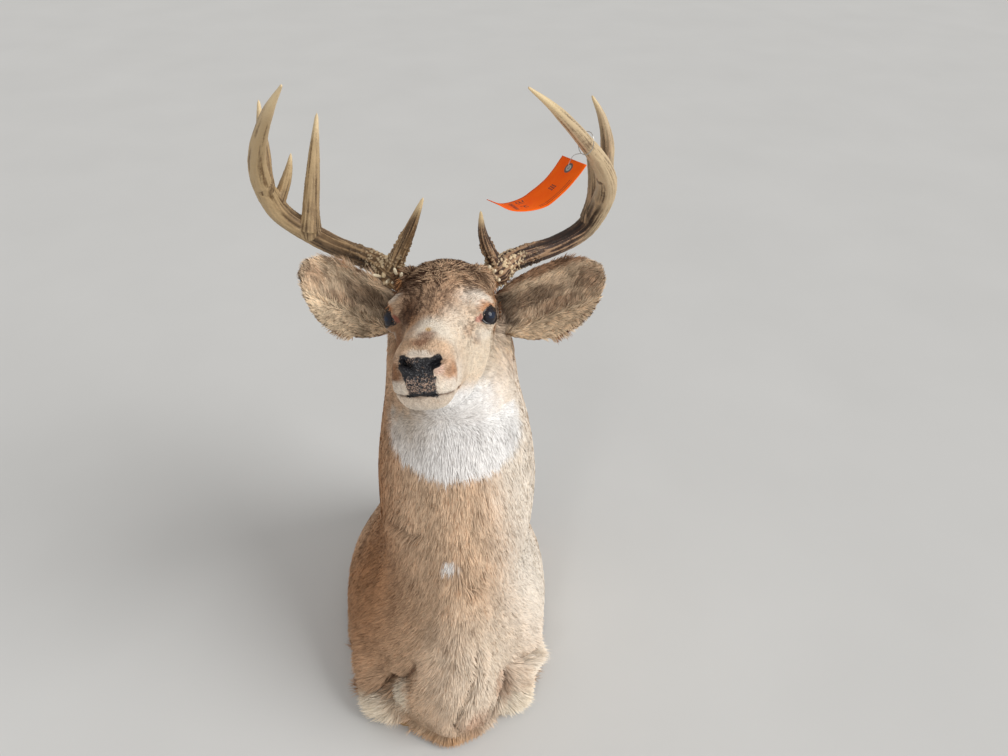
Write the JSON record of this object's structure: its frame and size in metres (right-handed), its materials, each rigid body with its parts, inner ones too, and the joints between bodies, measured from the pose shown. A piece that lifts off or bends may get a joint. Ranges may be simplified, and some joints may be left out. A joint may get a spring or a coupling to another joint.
{
  "type": "deer shoulder mount",
  "caption": "Mounted head, neck and shoulders of an antlered deer on a flat backboard, its head bent forward, with a card tag wired to one antler.",
  "frame": {"origin": "middle of the backboard's flat back, on the surface that the mount stands on or hangs against", "axes": "+Z out of the board along the neck, -Y to the underside and the face, +X to the deer's left"},
  "size_m": [0.5083, 0.543, 0.9938],
  "materials": {
    "hide": "short tan and white fur over a firm form",
    "nose": "black, glossy, cracked",
    "eye": "clear dark glass eye",
    "antler": "ridged bone, brown at the base and ivory at the tips",
    "board": "sawn plywood",
    "card": "bright orange, matte",
    "wire": "thin dull steel"
  },
  "bodies": {
    "root": {"backboard": "board", "trunk": "hide", "neck": "hide", "head": "hide", "lower_jaw": "hide", "nose": "nose", "foreleg_left": "hide", "foreleg_right": "hide", "ear_left": "hide", "ear_right": "hide", "eye_left": "eye", "eye_right": "eye", "antler_left_beam_base": "antler", "antler_left_beam_rise": "antler", "antler_left_beam_tip": "antler", "antler_left_brow_tine": "antler", "antler_left_second_tine": "antler", "antler_left_third_tine": "antler", "antler_right_beam_base": "antler", "antler_right_beam_rise": "antler", "antler_right_beam_bend": "antler", "antler_right_beam_tip": "antler", "antler_right_brow_tine": "antler", "antler_right_second_tine": "antler", "antler_right_short_tine": "antler", "antler_right_third_tine": "antler", "tag_card": "card", "tag_eyelet": "wire", "tag_wire": "wire"}
  },
  "joints": []
}
